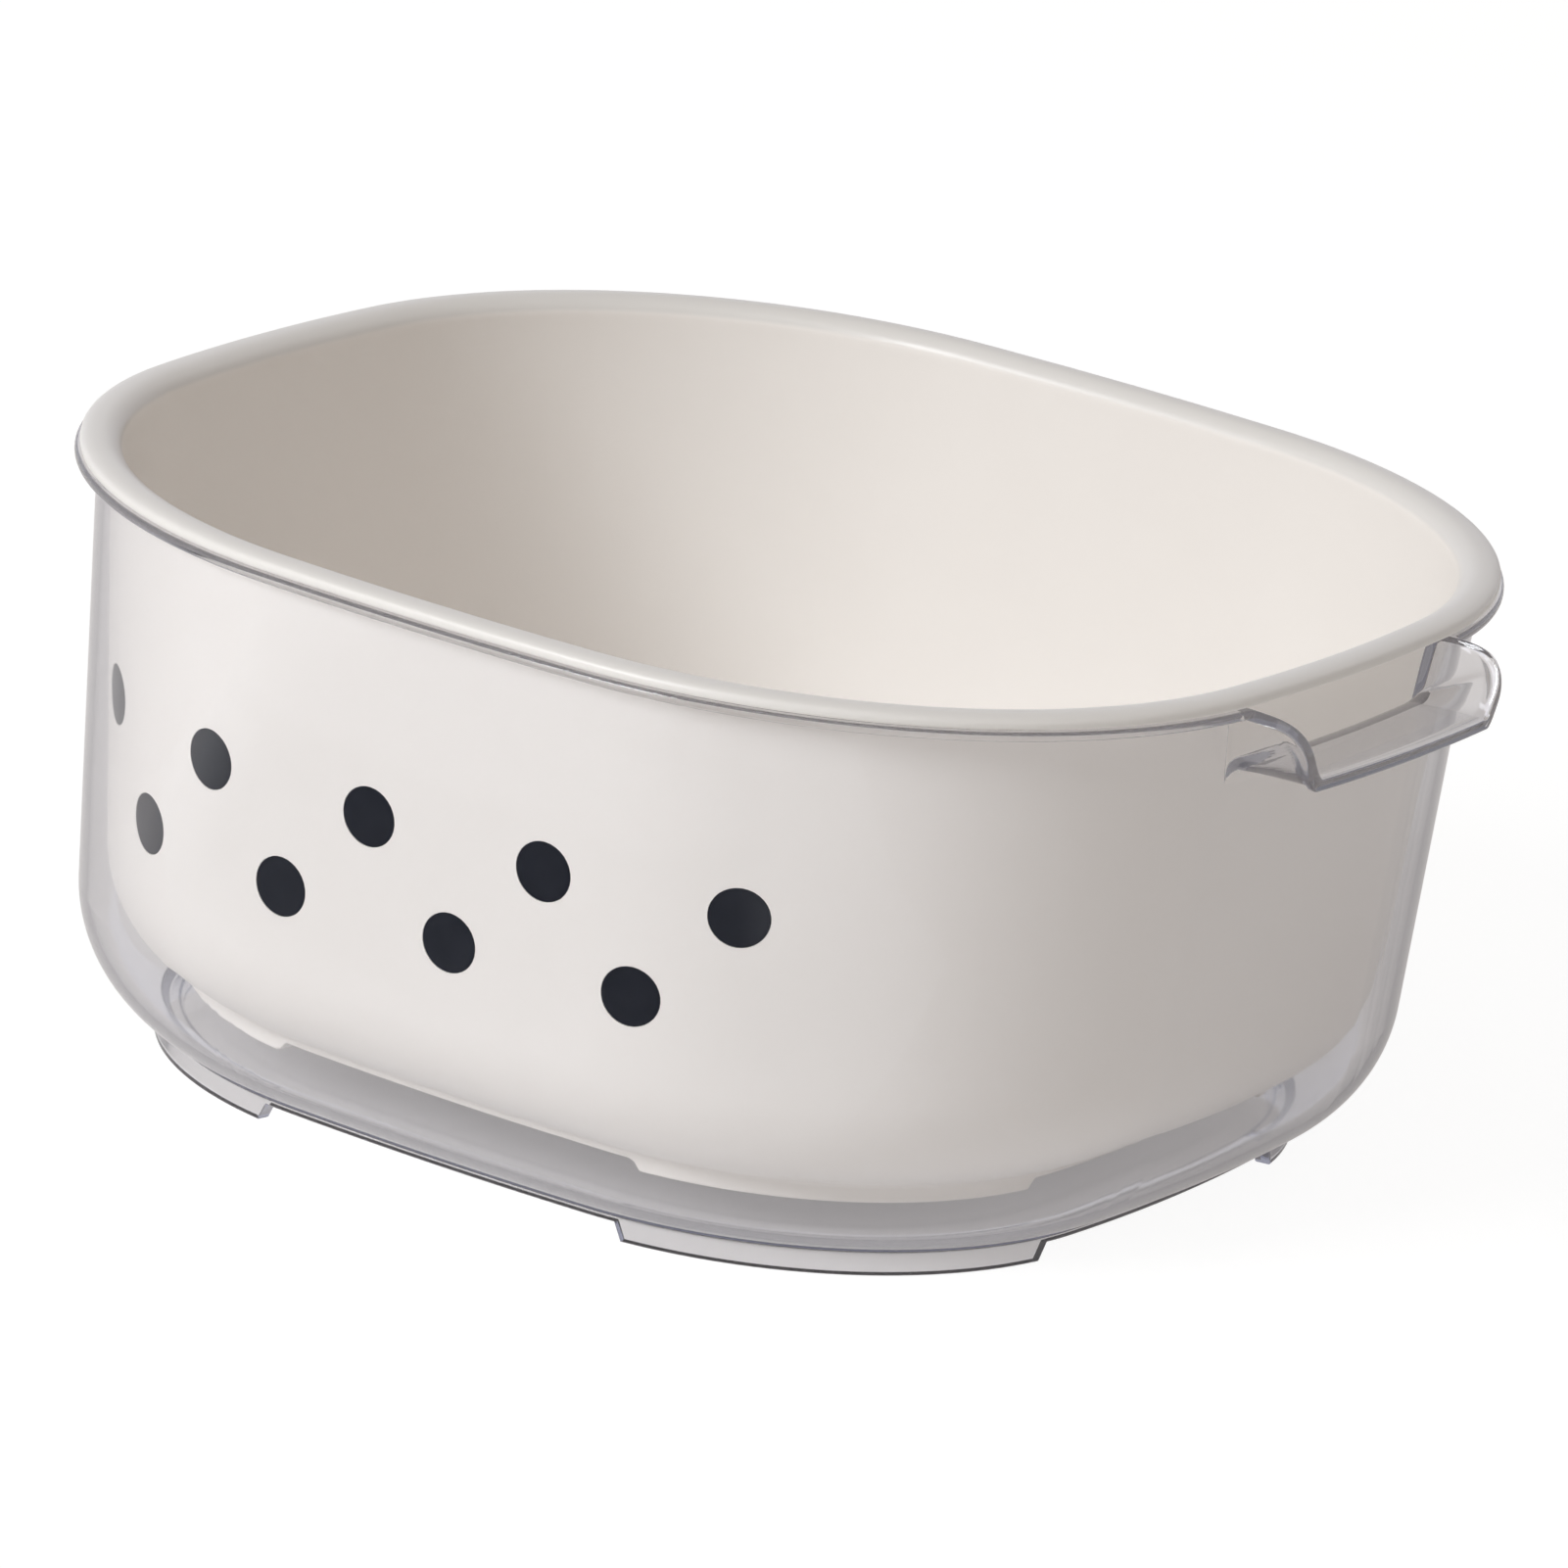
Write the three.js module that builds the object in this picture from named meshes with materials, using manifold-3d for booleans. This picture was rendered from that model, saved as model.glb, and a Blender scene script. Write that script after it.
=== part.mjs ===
// A double layer colander: an opaque drain basket that hangs by its rim in a clear catch bowl.
// Millimetres, Z up. The origin is the middle of the part at the level of its feet, with the handle at +X.

import * as THREE from 'three';
import { mergeVertices } from 'three/addons/utils/BufferGeometryUtils.js';
import Module from 'manifold-3d';

const wasm = await Module();
wasm.setup();

const { acos, atan2, cos, sin, tan, hypot, sqrt, abs, sign, PI } = Math;
const { clamp, smoothstep, degToRad } = THREE.MathUtils;

// Outline of the clear bowl's rim seen from above: bowed ends and sides joined by round corners
const rimHalfLength = 120;
const rimHalfWidth = 117.4;
const endBowRadius = 397;
const sideBowRadius = 559;
const cornerRadius = 91.3;

// Clear catch bowl
const bowlRimHeight = 107.5;
const bowlWall = 1.6;
const bowlTaper = degToRad(3.2);
const bowlBaseHeight = 3.2;
const bowlTurnRadius = 25.6;
const bowlFlangeWidth = 4;
const bowlFlangeBend = 1.2;

// Feet under the bowl: a low ring with a notch in the middle of each side
const bowlFootInset = 24.7;
const bowlFootWidth = 3;
const bowlNotchHalfWidth = 37.6;
const notchSlant = 1.6;
const notchRidge = 0.7;

// Handle: the bowl's rim dips and reaches out in a scoop at one end
const handleHalfWidth = 34.2;
const handleReach = 11;
const handleLipDrop = 10.5;
const handleRootDrop = 11.2;
const handleCornerRun = 4.5;
const handleDropRun = 7.6;
const handleSideRun = 4;

// Drain basket, hung in the bowl by its rim
const seatClearance = 0.3;
const nestClearance = 0.8;
const basketWall = 2;
const basketExtraTaper = degToRad(1.9);
const basketRimInset = 0.8;
const basketRimThickness = 2.4;
const basketRimRound = 1.1;
const basketTurnRadius = 24;
const sumpDepth = 7;

// Feet under the basket
const basketFootHeight = 2.2;
const basketFootInset = 29;
const basketFootWidth = 3;
const basketNotchHalfWidth = 37.2;

// Dark round inlays in one side of the basket, in two staggered rows
const dotRadius = 5.55;
const dotPitch = 36.5;
const dotShift = -11.2;
const dotUpperHeight = 67.7;
const dotLowerHeight = 49.4;
const dotUpperCount = 5;
const dotLowerCount = 4;
const inlayClearance = 0.3;
const cutOvershoot = 2;

// Drain holes in the basket's floor
const drainRadius = 1.8;
const drainPitch = 16;
const drainRows = 6;

// Fineness of the faceted surfaces, and how close two points or columns may be before they are one
const cornerSteps = 12;
const sideSteps = 3;
const handleSteps = 8;
const turnSteps = 4;
const dotSegments = 24;
const drainSegments = 10;
const samePoint = 1e-5;
const sameTurn = 1e-4;

// Sizes that follow from the ones above
const basketTaper = bowlTaper + basketExtraTaper;
const basketRimHeight = bowlRimHeight + seatClearance;
const basketWallInset = bowlFlangeWidth + bowlWall / cos(bowlTaper) + nestClearance;
const basketFootBottom = bowlBaseHeight + bowlWall + sumpDepth;
const basketBaseHeight = basketFootBottom + basketFootHeight;
const cutDepth = 2 * (basketWall + cutOvershoot);
const outlineShift = -handleReach / 2;

// Centres of the outline's arcs in the first quarter, and the directions where they meet
const endCentreX = rimHalfLength - endBowRadius;
const sideCentreY = rimHalfWidth - sideBowRadius;
const endReach = endBowRadius - cornerRadius;
const sideReach = sideBowRadius - cornerRadius;
const centreGap = hypot(endCentreX, sideCentreY);
const alongGap = (endReach ** 2 - sideReach ** 2 + centreGap ** 2) / (2 * centreGap);
const besideGap = sqrt(endReach ** 2 - alongGap ** 2);
const cornerX = endCentreX + (-endCentreX * alongGap - sideCentreY * besideGap) / centreGap;
const cornerY = (sideCentreY * alongGap - endCentreX * besideGap) / centreGap;
const endTurn = atan2(cornerY, cornerX - endCentreX);
const sideTurn = atan2(cornerY - sideCentreY, cornerX);

// The direction that the outline faces, folded into the first quarter
function foldTurn(turn) {
  return atan2(abs(sin(turn)), abs(cos(turn)));
}

// A point of the outline moved inwards, given the direction that the outline faces there
function outlinePoint(turn, inset, height) {
  const folded = foldTurn(turn);
  let centre = [cornerX, cornerY, cornerRadius];
  if (folded < endTurn) centre = [endCentreX, 0, endBowRadius];
  if (folded > sideTurn) centre = [0, sideCentreY, sideBowRadius];
  const x = sign(cos(turn)) * centre[0] + (centre[2] - inset) * cos(turn);
  const y = sign(sin(turn)) * centre[1] + (centre[2] - inset) * sin(turn);
  return new THREE.Vector3(x, y, height);
}

// How far the outline has turned after a length along it, from the middle of an end or of a side
function turnAfter(length, inset, bowRadius, bowTurn) {
  const bowLength = (bowRadius - inset) * bowTurn;
  if (length < bowLength) return length / (bowRadius - inset);
  return bowTurn + (length - bowLength) / (cornerRadius - inset);
}

function turnFromEnd(length, inset) {
  return turnAfter(length, inset, endBowRadius, endTurn);
}

function turnFromSide(length, inset) {
  return turnAfter(length, inset, sideBowRadius, PI / 2 - sideTurn);
}

// Length along the rim from the middle of the nearest end
function lengthFromEnd(turn) {
  const folded = foldTurn(turn);
  if (folded < endTurn) return endBowRadius * folded;
  return endBowRadius * endTurn + cornerRadius * (folded - endTurn);
}

// A cup wall in section: straight and tapered below the rim, then a round turn into a flat base
function cupSection(topInset, topHeight, taper, turnRadius, baseHeight) {
  const turnHeight = baseHeight + turnRadius;
  const turnInset = topInset + tan(taper) * (topHeight - turnHeight) + turnRadius / cos(taper);
  const wallInset = (height) => topInset + tan(taper) * (topHeight - height);
  const turnPoint = (angle) => [turnInset - turnRadius * cos(angle), turnHeight - turnRadius * sin(angle)];
  const angleAt = (inset) => acos(clamp((turnInset - inset) / turnRadius, 0, 1));
  const inside = (wall) =>
    cupSection(topInset + wall / cos(taper), topHeight, taper, turnRadius - wall, baseHeight + wall);
  return { taper, baseHeight, turnInset, wallInset, turnPoint, angleAt, inside };
}

// Points up the outside of the round turn, from an inset near the base to the straight wall
function turnPoints(section, fromAngle) {
  const points = [];
  for (let step = 0; step <= turnSteps; step += 1) {
    const share = step / turnSteps;
    points.push(section.turnPoint(fromAngle + (section.taper - fromAngle) * share));
  }
  return points;
}

// Share of the way from one value to another
function ramp(value, from, to) {
  return clamp((value - from) / (to - from), 0, 1);
}

// How far a foot stands down at a place on the outline: 0 in the notches and 1 on the corners
function footShare(turn, foot) {
  const fromEnd = foldTurn(turn);
  const fromSide = PI / 2 - fromEnd;
  const slantEnd = foot.notchHalfWidth + notchSlant;
  const endTurns = [turnFromEnd(foot.notchHalfWidth, foot.inset), turnFromEnd(slantEnd, foot.inset)];
  const sideTurns = [turnFromSide(foot.notchHalfWidth, foot.inset), turnFromSide(slantEnd, foot.inset)];
  return Math.min(ramp(fromEnd, ...endTurns), ramp(fromSide, ...sideTurns));
}

// Outside of the base: flat middle, foot ring with a low ridge left in its notches, round turn
function basePoints(section, foot, turn) {
  const innerInset = foot.inset + foot.width;
  const flatInset = Math.max(section.turnInset, innerInset) + foot.width;
  const ringTop = section.turnPoint(section.angleAt(innerInset))[1];
  const notchBottom = ringTop - notchRidge;
  const bottom = notchBottom + (foot.bottom - notchBottom) * footShare(turn, foot);
  return [
    [flatInset, section.baseHeight],
    [innerInset, ringTop],
    [innerInset, bottom],
    [foot.inset, bottom],
    ...turnPoints(section, section.angleAt(foot.inset)),
  ];
}

// Inside of the base, from the straight wall down to the flat floor
function floorPoints(section) {
  return turnPoints(section, PI / 2).reverse();
}

// Directions of the grid's columns in one quarter: the notches with their edges, and the corner
function quarterTurns(foot) {
  const slant = foot.notchHalfWidth + notchSlant;
  const lastEnd = turnFromEnd(foot.notchHalfWidth, foot.inset);
  const firstCorner = turnFromEnd(slant, foot.inset);
  const lastCorner = PI / 2 - turnFromSide(slant, foot.inset);
  const firstSide = PI / 2 - turnFromSide(foot.notchHalfWidth, foot.inset);
  const turns = [];
  for (let step = 0; step <= cornerSteps; step += 1) {
    turns.push(firstCorner + ((lastCorner - firstCorner) * step) / cornerSteps);
  }
  for (let step = 0; step <= sideSteps; step += 1) {
    turns.push((lastEnd * step) / sideSteps, firstSide + ((PI / 2 - firstSide) * step) / sideSteps);
  }
  return turns;
}

// The quarter mirrored all the way round, with the columns across one end, in order and without doubles
function allTurns(quarter, acrossEnd) {
  const around = quarter.flatMap((turn) => [turn, PI - turn, PI + turn, 2 * PI - turn]);
  const turns = [...around, ...acrossEnd.flatMap((turn) => [turn, 2 * PI - turn])];
  const sorted = turns.map((turn) => turn % (2 * PI)).sort((a, b) => a - b);
  return sorted.filter((turn, index) => index === 0 || turn - sorted[index - 1] > sameTurn);
}

// A closed shell from columns of points, from the base's middle over the rim to the floor's middle
function shellGeometry(columns, baseHeight, floorHeight) {
  const size = columns[0].length;
  const count = columns.length;
  const middles = [new THREE.Vector3(0, 0, baseHeight), new THREE.Vector3(0, 0, floorHeight)];
  const points = [...middles, ...columns.flat()];
  const at = (column, row) => middles.length + (column % count) * size + row;
  const faces = [];
  for (let column = 0; column < count; column += 1) {
    const next = column + 1;
    faces.push(0, at(next, 0), at(column, 0));
    faces.push(at(column, size - 1), at(next, size - 1), 1);
    for (let row = 0; row < size - 1; row += 1) {
      faces.push(at(column, row), at(next, row), at(next, row + 1));
      faces.push(at(column, row), at(next, row + 1), at(column, row + 1));
    }
  }
  const geometry = new THREE.BufferGeometry().setFromPoints(points);
  geometry.setIndex(faces);
  return geometry;
}

// A geometry as a solid that can be joined and cut, and back again
function solidOf(geometry) {
  const plain = geometry.clone();
  plain.deleteAttribute('normal');
  plain.deleteAttribute('uv');
  const merged = mergeVertices(plain, samePoint);
  const vertProperties = new Float32Array(merged.attributes.position.array);
  const triVerts = new Uint32Array(merged.index.array);
  return new wasm.Manifold(new wasm.Mesh({ numProp: 3, vertProperties, triVerts }));
}

function geometryOf(solid) {
  const mesh = solid.getMesh();
  const geometry = new THREE.BufferGeometry();
  geometry.setAttribute('position', new THREE.BufferAttribute(mesh.vertProperties, 3));
  geometry.setIndex(new THREE.BufferAttribute(mesh.triVerts, 1));
  geometry.computeVertexNormals();
  return geometry;
}

// How the rim gives way to the handle, by the distance inside the handle's side
function handleShape(distance) {
  const run = clamp(distance / handleCornerRun, 0, 1);
  return {
    reach: handleReach * sqrt(1 - (1 - run) ** 2),
    lipDrop: handleLipDrop * smoothstep(distance, 0, handleDropRun),
    rootDrop: handleRootDrop * smoothstep(distance, 0, handleSideRun),
  };
}

// The outside of the handle's side wall stands one wall thickness beyond its inside
function outsideShift(length) {
  const rise = length / (handleHalfWidth - handleCornerRun);
  const fall = (handleHalfWidth + handleCornerRun - length) / handleCornerRun;
  return bowlWall * clamp(Math.min(rise, fall), 0, 1);
}

// One upright section of the clear bowl, which has its handle at the +X end
function bowlColumn(turn) {
  const length = lengthFromEnd(turn);
  const atHandleEnd = cos(turn) > 0;
  const handle = handleShape(atHandleEnd ? handleHalfWidth - length : 0);
  const shift = atHandleEnd ? outsideShift(length) : 0;
  const outTurn = turn + sign(sin(turn)) * (turnFromEnd(length + shift, 0) - turnFromEnd(length, 0));
  const outer = cupSection(bowlFlangeWidth, bowlRimHeight, bowlTaper, bowlTurnRadius, bowlBaseHeight);
  const inner = outer.inside(bowlWall);
  const foot = bowlFoot();

  const rootTop = bowlRimHeight - handle.rootDrop;
  const rootUnder = rootTop - bowlWall;
  const edgeInset = -handle.reach;
  const edgeTop = bowlRimHeight - handle.lipDrop;
  const outerRoot = outer.wallInset(rootUnder);
  const innerRoot = inner.wallInset(rootTop);
  const bendShare = bowlFlangeBend / (outerRoot - edgeInset);
  const fall = handle.rootDrop - handle.lipDrop;
  const outerSide = [
    ...basePoints(outer, foot, outTurn),
    [outer.wallInset(rootUnder - bowlFlangeBend), rootUnder - bowlFlangeBend],
    [outerRoot - bowlFlangeBend, rootUnder + fall * bendShare],
    [edgeInset, edgeTop - bowlWall],
  ];
  const innerSide = [
    [edgeInset, edgeTop],
    [innerRoot - bowlFlangeBend, rootTop],
    [inner.wallInset(rootTop - bowlFlangeBend), rootTop - bowlFlangeBend],
    ...floorPoints(inner),
  ];
  return [
    ...outerSide.map(([inset, height]) => outlinePoint(outTurn, inset, height)),
    ...innerSide.map(([inset, height]) => outlinePoint(turn, inset, height)),
  ];
}

function bowlFoot() {
  return {
    inset: bowlFootInset,
    width: bowlFootWidth,
    bottom: 0,
    notchHalfWidth: bowlNotchHalfWidth,
  };
}

// Columns across the handle, close together where its corners sweep out
function handleTurns() {
  const turns = [];
  for (let step = 0; step <= handleSteps; step += 1) {
    const distance = handleDropRun * (1 - cos((step / handleSteps) * (PI / 2)));
    turns.push(turnFromEnd(handleHalfWidth - distance, 0));
  }
  for (let step = 0; step < sideSteps; step += 1) {
    turns.push(turnFromEnd(((handleHalfWidth - handleDropRun) * step) / sideSteps, 0));
  }
  return turns;
}

function outerBowl() {
  const turns = allTurns(quarterTurns(bowlFoot()), handleTurns());
  const floorHeight = bowlBaseHeight + bowlWall;
  return solidOf(shellGeometry(turns.map(bowlColumn), bowlBaseHeight, floorHeight));
}

function basketSection() {
  return cupSection(basketWallInset, basketRimHeight, basketTaper, basketTurnRadius, basketBaseHeight);
}

function basketFoot() {
  return {
    inset: basketFootInset,
    width: basketFootWidth,
    bottom: basketFootBottom,
    notchHalfWidth: basketNotchHalfWidth,
  };
}

// One upright section of the basket, with a rounded rim that lies on the bowl's rim
function basketColumn(turn) {
  const outer = basketSection();
  const inner = outer.inside(basketWall);
  const rimTop = basketRimHeight + basketRimThickness;
  const innerInset = inner.wallInset(basketRimHeight);
  const points = [
    ...basePoints(outer, basketFoot(), turn),
    [basketWallInset, basketRimHeight],
    [basketRimInset + basketRimRound / 2, basketRimHeight],
    [basketRimInset, basketRimHeight + basketRimRound / 2],
    [basketRimInset, rimTop - basketRimRound],
    [basketRimInset + basketRimRound, rimTop - basketRimRound / 4],
    [(basketRimInset + innerInset) / 2, rimTop],
    [innerInset - basketRimRound, rimTop - basketRimRound / 4],
    [innerInset, rimTop - basketRimRound],
    ...floorPoints(inner),
  ];
  return points.map(([inset, height]) => outlinePoint(turn, inset, height));
}

function basketBlank() {
  const turns = allTurns(quarterTurns(basketFoot()), []);
  return solidOf(shellGeometry(turns.map(basketColumn), basketBaseHeight, basketBaseHeight + basketWall));
}

// Centres and outward directions of the dots, counted along the wall from the middle of the side
function dotPlaces() {
  const places = [];
  const rows = [
    [dotUpperCount, dotUpperHeight],
    [dotLowerCount, dotLowerHeight],
  ];
  for (const [count, height] of rows) {
    const inset = basketSection().wallInset(height);
    for (let index = 0; index < count; index += 1) {
      const length = dotShift + dotPitch * (index - (count - 1) / 2);
      const turn = -PI / 2 + sign(length) * turnFromSide(abs(length), inset);
      const level = cos(basketTaper);
      const facing = new THREE.Vector3(level * cos(turn), level * sin(turn), -sin(basketTaper));
      places.push({ centre: outlinePoint(turn, inset, height), facing });
    }
  }
  return places;
}

// A round plug through the basket's wall at a dot
function dotPlug(place, radius) {
  const plug = new THREE.CylinderGeometry(radius, radius, cutDepth, dotSegments);
  const upright = new THREE.Vector3(0, 1, 0);
  plug.applyQuaternion(new THREE.Quaternion().setFromUnitVectors(upright, place.facing));
  plug.translate(place.centre.x, place.centre.y, place.centre.z);
  return solidOf(plug);
}

// A square field of drain holes in the floor
function drainPlugs() {
  const plugs = [];
  for (let row = 0; row < drainRows; row += 1) {
    for (let column = 0; column < drainRows; column += 1) {
      const plug = new THREE.CylinderGeometry(drainRadius, drainRadius, cutDepth, drainSegments);
      plug.rotateX(PI / 2);
      const middle = (drainRows - 1) / 2;
      plug.translate(drainPitch * (column - middle), drainPitch * (row - middle), basketBaseHeight);
      plugs.push(solidOf(plug));
    }
  }
  return plugs;
}

// Every piece moves by the same step, so that the part's middle is at the origin with its one handle
function addPiece(parent, name, solid, material) {
  const mesh = new THREE.Mesh(geometryOf(solid).translate(outlineShift, 0, 0), material);
  mesh.name = name;
  parent.add(mesh);
}

// Finishes
const clearPlastic = new THREE.MeshStandardMaterial({
  color: 0xd8d8dc,
  roughness: 0.06,
  metalness: 0,
  transparent: true,
  opacity: 0.35,
});
const creamPlastic = new THREE.MeshStandardMaterial({ color: 0xece6df, roughness: 0.38, metalness: 0 });
const darkPlastic = new THREE.MeshStandardMaterial({ color: 0x2e3039, roughness: 0.35, metalness: 0 });

// Assembly
const colander = new THREE.Group();
const liftOut = new THREE.Group();
colander.add(liftOut);

addPiece(colander, 'outer_bowl', outerBowl(), clearPlastic);

const blank = basketBlank();
let basket = blank;
for (const plug of drainPlugs()) {
  basket = basket.subtract(plug);
}
dotPlaces().forEach((place, index) => {
  basket = basket.subtract(dotPlug(place, dotRadius));
  const inlay = blank.intersect(dotPlug(place, dotRadius - inlayClearance));
  addPiece(liftOut, `dot_inlay_${index + 1}`, inlay, darkPlastic.clone());
});
addPiece(liftOut, 'inner_basket', basket, creamPlastic);

export default colander;
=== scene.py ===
import bpy
import numpy as np
from mathutils import Matrix


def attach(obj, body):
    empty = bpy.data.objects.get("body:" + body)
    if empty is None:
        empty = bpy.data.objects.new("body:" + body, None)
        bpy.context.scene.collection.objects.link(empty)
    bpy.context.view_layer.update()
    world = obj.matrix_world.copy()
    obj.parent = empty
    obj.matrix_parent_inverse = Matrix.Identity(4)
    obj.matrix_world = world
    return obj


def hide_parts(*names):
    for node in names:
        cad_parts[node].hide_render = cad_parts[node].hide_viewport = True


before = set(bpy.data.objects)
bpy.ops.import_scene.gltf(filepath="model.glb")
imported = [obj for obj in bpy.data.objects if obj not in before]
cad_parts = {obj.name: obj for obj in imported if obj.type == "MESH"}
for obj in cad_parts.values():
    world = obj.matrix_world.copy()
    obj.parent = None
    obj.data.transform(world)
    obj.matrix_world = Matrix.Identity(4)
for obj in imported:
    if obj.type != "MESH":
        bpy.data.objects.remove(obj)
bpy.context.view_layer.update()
print("frame: packed colander loaded")

mm = 0.001
tiny = 1e-9
white = (1, 1, 1, 1)
sharpAngle = 42  # degrees; faces that meet at more keep a crisp edge

# Clear bowl's rim outline from above, in mm: bowed ends and sides joined by round corners
rimOutline = {
    "middleX": -5.5,  # half of the handle's reach, so that the whole part stays centred
    "halfLength": 120.0,
    "halfWidth": 117.4,
    "endBow": 397.0,
    "sideBow": 559.0,
    "corner": 91.3,
}
endX = rimOutline["halfLength"] - rimOutline["endBow"]  # middle of the end's bow
sideY = rimOutline["halfWidth"] - rimOutline["sideBow"]
endReach = rimOutline["endBow"] - rimOutline["corner"]  # from there to the corner's middle
sideReach = rimOutline["sideBow"] - rimOutline["corner"]
centreGap = np.hypot(endX, sideY)
alongGap = (endReach**2 - sideReach**2 + centreGap**2) / (2 * centreGap)
besideGap = np.sqrt(endReach**2 - alongGap**2)
cornerX = endX + (-endX * alongGap - sideY * besideGap) / centreGap
cornerY = (sideY * alongGap - endX * besideGap) / centreGap
endTurn = np.arctan2(cornerY, cornerX - endX)  # where the end's bow meets the corner
sideTurn = np.arctan2(cornerY - sideY, cornerX)


# Facing direction folded into the first quarter
def foldTurn(turn):
    return np.arctan2(np.abs(np.sin(turn)), np.abs(np.cos(turn)))


# Outline point that faces a direction: the arc's centre plus its radius less the inset, that way
def onOutline(turn, inset, height):
    turn, inset, height = np.broadcast_arrays(turn, inset, height)
    folded = foldTurn(turn)
    onEnd, onSide = folded < endTurn, folded > sideTurn

    def pick(end, side, corner):
        return np.where(onEnd, end, np.where(onSide, side, corner))

    radius = pick(rimOutline["endBow"], rimOutline["sideBow"], rimOutline["corner"]) - inset
    centreX = rimOutline["middleX"] + pick(endX, 0, cornerX) * np.sign(np.cos(turn))
    centreY = pick(0, sideY, cornerY) * np.sign(np.sin(turn))
    x = centreX + radius * np.cos(turn)
    y = centreY + radius * np.sin(turn)
    return mm * np.stack([x, y, height], -1)


# Turn after a length along the outline: length over radius on the bow, then on the corner
def turnAfter(length, inset, bow, bowTurn):
    bowLength = (bow - inset) * bowTurn
    onCorner = bowTurn + (length - bowLength) / (rimOutline["corner"] - inset)
    return np.where(length < bowLength, length / (bow - inset), onCorner)


# The same, from the middle of an end or of a side
def turnFromEnd(length, inset):
    return turnAfter(length, inset, rimOutline["endBow"], endTurn)


def turnFromSide(length, inset):
    return turnAfter(length, inset, rimOutline["sideBow"], np.pi / 2 - sideTurn)


# Length along the outline from the middle of an end: radius times turn on each arc
def lengthFromEnd(turn):
    folded = foldTurn(turn)
    bowLength = rimOutline["endBow"] * endTurn
    onCorner = bowLength + rimOutline["corner"] * (folded - endTurn)
    return np.where(folded < endTurn, rimOutline["endBow"] * folded, onCorner)


# A quarter's turns mirrored all the way round, in order, with near doubles left out
def allRound(quarter, least):
    quarter = np.concatenate(quarter)
    turns = np.concatenate([quarter, np.pi - quarter, np.pi + quarter, 2 * np.pi - quarter])
    turns = np.sort(turns % (2 * np.pi))
    turns = turns[np.append(True, np.diff(turns) > least)]
    return turns[turns < 2 * np.pi - least]


# 0 up to the low value, 1 from the high one, straight between them
def ramp(value, low, high):
    return np.clip((value - low) / (high - low), 0, 1)


# The same, eased at both ends: three squares less two cubes of the share
def smoothRamp(value, low, high):
    share = ramp(value, low, high)
    return share * share * (3 - 2 * share)


# Wall of a cup in section: a straight taper below the rim, then a round turn into a flat base
class Cup:
    def __init__(self, topInset, topHeight, taper, turnRadius, base):
        self.topInset, self.topHeight, self.taper = topInset, topHeight, taper
        self.turnRadius, self.base = turnRadius, base
        self.turnHeight = base + turnRadius
        self.turnInset = self.wall(self.turnHeight) + turnRadius / np.cos(taper)

    # Inset of the straight part: the taper's tangent times the drop below the top
    def wall(self, height):
        return self.topInset + np.tan(self.taper) * (self.topHeight - height)

    # Inset and height on the round turn's circle, and the angle there for an inset
    def bend(self, angle):
        inset = self.turnInset - self.turnRadius * np.cos(angle)
        return inset, self.turnHeight - self.turnRadius * np.sin(angle)

    def angleAt(self, inset):
        return np.arccos(np.clip((self.turnInset - inset) / self.turnRadius, 0, 1))

    # Places on the straight part, at shares of the way from the round turn up to a height
    def straight(self, top, shares):
        low = self.bend(self.taper)[1]
        heights = [low + share * (top - low) for share in shares]
        return [(self.wall(height), height) for height in heights]

    # The same cup one wall further in
    def inside(self, wall):
        slant = wall / np.cos(self.taper)
        radius = self.turnRadius - wall
        return Cup(self.topInset + slant, self.topHeight, self.taper, radius, self.base + wall)


# Share of a foot's height: 0 in the notch at the middle of each side, 1 on the corners
def footShare(turn, foot):
    inset = foot["inset"]
    start, stop = foot["notchHalfWidth"], foot["notchHalfWidth"] + foot["slant"]
    folded = foldTurn(turn)
    aside = np.pi / 2 - folded
    fromEnd = ramp(folded, turnFromEnd(start, inset), turnFromEnd(stop, inset))
    fromSide = ramp(aside, turnFromSide(start, inset), turnFromSide(stop, inset))
    return np.minimum(fromEnd, fromSide)


# Corners of a profile become parabolas that leave their two runs a radius away from the corner,
# and a guard row a little further out keeps the runs flat
def roundCorners(corners, radii, steps=6, guard=0.3, mostOfRun=0.46, guardOfRun=0.49):
    def onRun(corner, run, length, most):
        runLength = np.maximum(np.linalg.norm(run, axis=-1, keepdims=True), tiny)
        return corner + run * np.minimum(length * mm / runLength, most)

    rows = [corners[0][None]]
    t = np.linspace(0, 1, steps)[:, None, None]
    for before, at, after, radius in zip(corners, corners[1:], corners[2:], radii[1:]):
        if radius == 0:
            rows.append(at[None])
            continue
        runs = before - at, after - at
        start, stop = (onRun(at, run, radius, mostOfRun) for run in runs)
        farBack, farAhead = (onRun(at, run, radius + guard, guardOfRun) for run in runs)
        curve = (1 - t) ** 2 * start + 2 * t * (1 - t) * at + t**2 * stop
        rows += [farBack[None], curve, farAhead[None]]
    return np.concatenate([*rows, corners[-1][None]])


# Faces of a grid of rows whose columns close into a ring
def ringFaces(rows, columns):
    row, column = np.mgrid[0 : rows - 1, 0:columns]
    near, far = row * columns, (row + 1) * columns
    onward = (column + 1) % columns
    return np.stack([near + column, near + onward, far + onward, far + column], -1)


# Faces of a flat patch of rows and columns
def patchFaces(rows, columns, first=0):
    row, column = np.mgrid[0 : rows - 1, 0 : columns - 1]
    at = first + row * columns + column
    return np.stack([at, at + 1, at + columns + 1, at + columns], -1)


# A strip between two rings of equal count
def bridgeFaces(front, back):
    strip = [front, np.roll(front, -1, -1), np.roll(back, -1, -1), back]
    return np.stack(strip, -1).reshape(-1, 4)


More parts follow.
